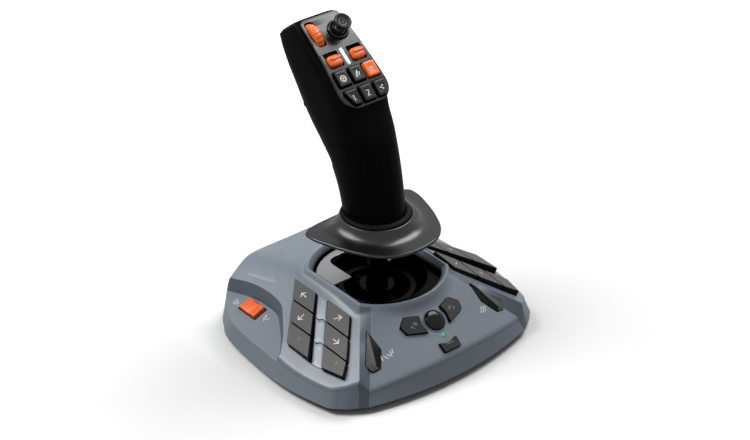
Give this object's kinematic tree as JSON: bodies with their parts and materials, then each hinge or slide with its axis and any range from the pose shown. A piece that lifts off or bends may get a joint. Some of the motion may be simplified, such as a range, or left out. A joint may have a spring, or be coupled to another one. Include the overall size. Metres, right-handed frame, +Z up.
{
  "type": "flight joystick",
  "caption": "Desk joystick for vehicle simulation: wide faceted base with key clusters, sprung two-axis stick in a round bowl, flared hand rest and upright grip with a thumb panel.",
  "frame": {"origin": "on the desk, under the middle of the base's bounding box", "axes": "+X to the user's right, +Y away from the user, +Z up along the grip"},
  "size_m": [0.224, 0.2116, 0.2496],
  "materials": {
    "black_plastic": "satin",
    "circuit_board": "plain",
    "gloss_black": "gloss",
    "green_lens": "translucent",
    "key_dark_grey": "satin",
    "orange_plastic": "satin",
    "panel_black": "satin",
    "rubber": "matt",
    "satin_plate": "satin metallic",
    "shell_blue_grey": "satin blue-grey",
    "soft_touch_black": "satin",
    "steel": "plain",
    "white_lens": "translucent"
  },
  "bodies": {
    "base": {"base_top_shell": "shell_blue_grey", "base_bottom_cover": "black_plastic", "rubber_foot_1": "rubber", "rubber_foot_2": "rubber", "rubber_foot_3": "rubber", "rubber_foot_4": "rubber", "base_circuit_board": "circuit_board", "cable_inlet": "rubber", "gimbal_housing": "gloss_black", "bowl_cover_plate": "satin_plate", "status_lens": "green_lens"},
    "pitch_yoke": {"pitch_yoke": "gloss_black"},
    "stick": {"roll_cradle": "black_plastic", "stick_shaft": "steel", "spring_seat": "black_plastic", "centring_spring": "steel"},
    "handle": {"hand_rest": "soft_touch_black", "grip_collar": "rubber", "left_grip_shell": "soft_touch_black", "right_grip_shell": "soft_touch_black", "rear_grip_cover": "soft_touch_black", "grip_screw_1": "steel", "grip_screw_2": "steel", "panel_plate": "panel_black", "light_bar": "white_lens", "handle_circuit_board": "circuit_board", "mini_stick_socket": "gloss_black", "wheel_axle": "steel", "twist_bush": "steel"},
    "left_outer_key_1": {"left_outer_key_1": "key_dark_grey"},
    "left_outer_key_2": {"left_outer_key_2": "key_dark_grey"},
    "left_outer_key_3": {"left_outer_key_3": "key_dark_grey"},
    "left_inner_key_1": {"left_inner_key_1": "key_dark_grey"},
    "left_inner_key_2": {"left_inner_key_2": "key_dark_grey"},
    "left_inner_key_3": {"left_inner_key_3": "key_dark_grey"},
    "right_outer_key_1": {"right_outer_key_1": "key_dark_grey"},
    "right_outer_key_2": {"right_outer_key_2": "key_dark_grey"},
    "right_outer_key_3": {"right_outer_key_3": "key_dark_grey"},
    "right_inner_key_1": {"right_inner_key_1": "key_dark_grey"},
    "right_inner_key_2": {"right_inner_key_2": "key_dark_grey"},
    "right_inner_key_3": {"right_inner_key_3": "key_dark_grey"},
    "left_wing_key": {"left_wing_key": "key_dark_grey"},
    "right_wing_key": {"right_wing_key": "key_dark_grey"},
    "left_menu_key": {"left_menu_key": "key_dark_grey"},
    "right_menu_key": {"right_menu_key": "key_dark_grey"},
    "mode_key": {"mode_key": "key_dark_grey"},
    "home_button": {"home_button": "gloss_black"},
    "left_side_rocker": {"left_side_rocker": "orange_plastic"},
    "right_side_rocker": {"right_side_rocker": "orange_plastic"},
    "left_thumb_rocker": {"left_thumb_rocker": "orange_plastic"},
    "right_thumb_rocker": {"right_thumb_rocker": "orange_plastic"},
    "thumb_key_upper_left": {"thumb_key_upper_left": "key_dark_grey"},
    "thumb_key_upper_middle": {"thumb_key_upper_middle": "key_dark_grey"},
    "thumb_key_upper_right": {"thumb_key_upper_right": "orange_plastic"},
    "thumb_key_lower_left": {"thumb_key_lower_left": "key_dark_grey"},
    "thumb_key_lower_middle": {"thumb_key_lower_middle": "key_dark_grey"},
    "thumb_key_lower_right": {"thumb_key_lower_right": "key_dark_grey"},
    "scroll_wheel": {"scroll_wheel": "orange_plastic"},
    "mini_stick_cradle": {"mini_stick_cradle": "gloss_black"},
    "mini_stick_cap": {"mini_stick_cap": "soft_touch_black"}
  },
  "joints": [
    {"name": "pitch", "type": "hinge", "parent": "base", "child": "pitch_yoke", "pos_m": [0, -0.0085, 0.034], "axis": [1, 0, 0], "range_deg": [-16, 16], "stiffness_Nm_per_rad": 3},
    {"name": "roll", "type": "hinge", "parent": "pitch_yoke", "child": "stick", "pos_m": [0, -0.0085, 0.034], "axis": [0, 1, 0], "range_deg": [-16, 16], "stiffness_Nm_per_rad": 3},
    {"name": "twist", "type": "hinge", "parent": "stick", "child": "handle", "pos_m": [0, -0.0085, 0.1], "axis": [0, 0, 1], "range_deg": [-12, 12], "stiffness_Nm_per_rad": 1},
    {"name": "left_outer_key_1_press", "type": "slide", "parent": "base", "child": "left_outer_key_1", "axis": [-0.4399, -0.0269, 0.8977], "range_m": [-0.0014, 0], "stiffness_N_per_m": 400, "springref_m": 0.0003},
    {"name": "left_outer_key_2_press", "type": "slide", "parent": "base", "child": "left_outer_key_2", "axis": [-0.4399, -0.0269, 0.8977], "range_m": [-0.0014, 0], "stiffness_N_per_m": 400, "springref_m": 0.0003},
    {"name": "left_outer_key_3_press", "type": "slide", "parent": "base", "child": "left_outer_key_3", "axis": [-0.4399, -0.0269, 0.8977], "range_m": [-0.0014, 0], "stiffness_N_per_m": 400, "springref_m": 0.0003},
    {"name": "left_inner_key_1_press", "type": "slide", "parent": "base", "child": "left_inner_key_1", "axis": [-0.438, -0.0965, 0.8938], "range_m": [-0.0014, 0], "stiffness_N_per_m": 400, "springref_m": 0.0003},
    {"name": "left_inner_key_2_press", "type": "slide", "parent": "base", "child": "left_inner_key_2", "axis": [-0.438, -0.0965, 0.8938], "range_m": [-0.0014, 0], "stiffness_N_per_m": 400, "springref_m": 0.0003},
    {"name": "left_inner_key_3_press", "type": "slide", "parent": "base", "child": "left_inner_key_3", "axis": [-0.438, -0.0965, 0.8938], "range_m": [-0.0014, 0], "stiffness_N_per_m": 400, "springref_m": 0.0003},
    {"name": "right_outer_key_1_press", "type": "slide", "parent": "base", "child": "right_outer_key_1", "axis": [0.4399, -0.0269, 0.8977], "range_m": [-0.0014, 0], "stiffness_N_per_m": 400, "springref_m": 0.0003},
    {"name": "right_outer_key_2_press", "type": "slide", "parent": "base", "child": "right_outer_key_2", "axis": [0.4399, -0.0269, 0.8977], "range_m": [-0.0014, 0], "stiffness_N_per_m": 400, "springref_m": 0.0003},
    {"name": "right_outer_key_3_press", "type": "slide", "parent": "base", "child": "right_outer_key_3", "axis": [0.4399, -0.0269, 0.8977], "range_m": [-0.0014, 0], "stiffness_N_per_m": 400, "springref_m": 0.0003},
    {"name": "right_inner_key_1_press", "type": "slide", "parent": "base", "child": "right_inner_key_1", "axis": [0.438, -0.0965, 0.8938], "range_m": [-0.0014, 0], "stiffness_N_per_m": 400, "springref_m": 0.0003},
    {"name": "right_inner_key_2_press", "type": "slide", "parent": "base", "child": "right_inner_key_2", "axis": [0.438, -0.0965, 0.8938], "range_m": [-0.0014, 0], "stiffness_N_per_m": 400, "springref_m": 0.0003},
    {"name": "right_inner_key_3_press", "type": "slide", "parent": "base", "child": "right_inner_key_3", "axis": [0.438, -0.0965, 0.8938], "range_m": [-0.0014, 0], "stiffness_N_per_m": 400, "springref_m": 0.0003},
    {"name": "left_wing_key_press", "type": "slide", "parent": "base", "child": "left_wing_key", "axis": [-0.1629, -0.5462, 0.8217], "range_m": [-0.0012, 0], "stiffness_N_per_m": 400, "springref_m": 0.0003},
    {"name": "right_wing_key_press", "type": "slide", "parent": "base", "child": "right_wing_key", "axis": [0.2049, -0.5088, 0.8361], "range_m": [-0.0012, 0], "stiffness_N_per_m": 400, "springref_m": 0.0003},
    {"name": "left_menu_key_press", "type": "slide", "parent": "base", "child": "left_menu_key", "axis": [-0.0927, -0.5693, 0.8169], "range_m": [-0.0011, 0], "stiffness_N_per_m": 400, "springref_m": 0.0003},
    {"name": "right_menu_key_press", "type": "slide", "parent": "base", "child": "right_menu_key", "axis": [0.0929, -0.5692, 0.8169], "range_m": [-0.0011, 0], "stiffness_N_per_m": 400, "springref_m": 0.0003},
    {"name": "mode_key_press", "type": "slide", "parent": "base", "child": "mode_key", "axis": [0.0001, -0.5816, 0.8135], "range_m": [-0.001, 0], "stiffness_N_per_m": 400, "springref_m": 0.0003},
    {"name": "home_button_press", "type": "slide", "parent": "base", "child": "home_button", "axis": [0.0001, -0.5816, 0.8135], "range_m": [-0.0012, 0], "stiffness_N_per_m": 400, "springref_m": 0.0003},
    {"name": "left_side_rocker_rock", "type": "hinge", "parent": "base", "child": "left_side_rocker", "pos_m": [-0.08391, 0.0414, 0.02421], "axis": [0.9332, 0, 0.3593], "range_deg": [-7, 7], "stiffness_Nm_per_rad": 0.3},
    {"name": "right_side_rocker_rock", "type": "hinge", "parent": "base", "child": "right_side_rocker", "pos_m": [0.08391, 0.0414, 0.02421], "axis": [0.9332, 0, -0.3593], "range_deg": [-7, 7], "stiffness_Nm_per_rad": 0.3},
    {"name": "left_thumb_rocker_rock", "type": "hinge", "parent": "handle", "child": "left_thumb_rocker", "pos_m": [-0.0109, 0.02938, 0.22226], "axis": [1, 0, 0], "range_deg": [-12, 12], "stiffness_Nm_per_rad": 0.1},
    {"name": "right_thumb_rocker_rock", "type": "hinge", "parent": "handle", "child": "right_thumb_rocker", "pos_m": [0.0109, 0.02938, 0.22226], "axis": [1, 0, 0], "range_deg": [-12, 12], "stiffness_Nm_per_rad": 0.1},
    {"name": "thumb_key_upper_left_press", "type": "slide", "parent": "handle", "child": "thumb_key_upper_left", "axis": [0, -0.6437, 0.7653], "range_m": [-0.001, 0], "stiffness_N_per_m": 400, "springref_m": 0.0003},
    {"name": "thumb_key_upper_middle_press", "type": "slide", "parent": "handle", "child": "thumb_key_upper_middle", "axis": [0, -0.6437, 0.7653], "range_m": [-0.001, 0], "stiffness_N_per_m": 400, "springref_m": 0.0003},
    {"name": "thumb_key_upper_right_press", "type": "slide", "parent": "handle", "child": "thumb_key_upper_right", "axis": [0, -0.6437, 0.7653], "range_m": [-0.001, 0], "stiffness_N_per_m": 400, "springref_m": 0.0003},
    {"name": "thumb_key_lower_left_press", "type": "slide", "parent": "handle", "child": "thumb_key_lower_left", "axis": [0, -0.6818, 0.7316], "range_m": [-0.001, 0], "stiffness_N_per_m": 400, "springref_m": 0.0003},
    {"name": "thumb_key_lower_middle_press", "type": "slide", "parent": "handle", "child": "thumb_key_lower_middle", "axis": [0, -0.6818, 0.7316], "range_m": [-0.001, 0], "stiffness_N_per_m": 400, "springref_m": 0.0003},
    {"name": "thumb_key_lower_right_press", "type": "slide", "parent": "handle", "child": "thumb_key_lower_right", "axis": [0, -0.6818, 0.7316], "range_m": [-0.001, 0], "stiffness_N_per_m": 400, "springref_m": 0.0003},
    {"name": "scroll_wheel_spin", "type": "hinge", "parent": "handle", "child": "scroll_wheel", "pos_m": [-0.0122, 0.05322, 0.23012], "axis": [1, 0, 0], "continuous": true},
    {"name": "mini_stick_pitch", "type": "hinge", "parent": "handle", "child": "mini_stick_cradle", "pos_m": [0.0078, 0.04668, 0.23566], "axis": [1, 0, 0], "range_deg": [-18, 18], "stiffness_Nm_per_rad": 0.05},
    {"name": "mini_stick_roll", "type": "hinge", "parent": "mini_stick_cradle", "child": "mini_stick_cap", "pos_m": [0.0078, 0.04668, 0.23566], "axis": [0, 0.837, 0.5471], "range_deg": [-18, 18], "stiffness_Nm_per_rad": 0.05}
  ]
}
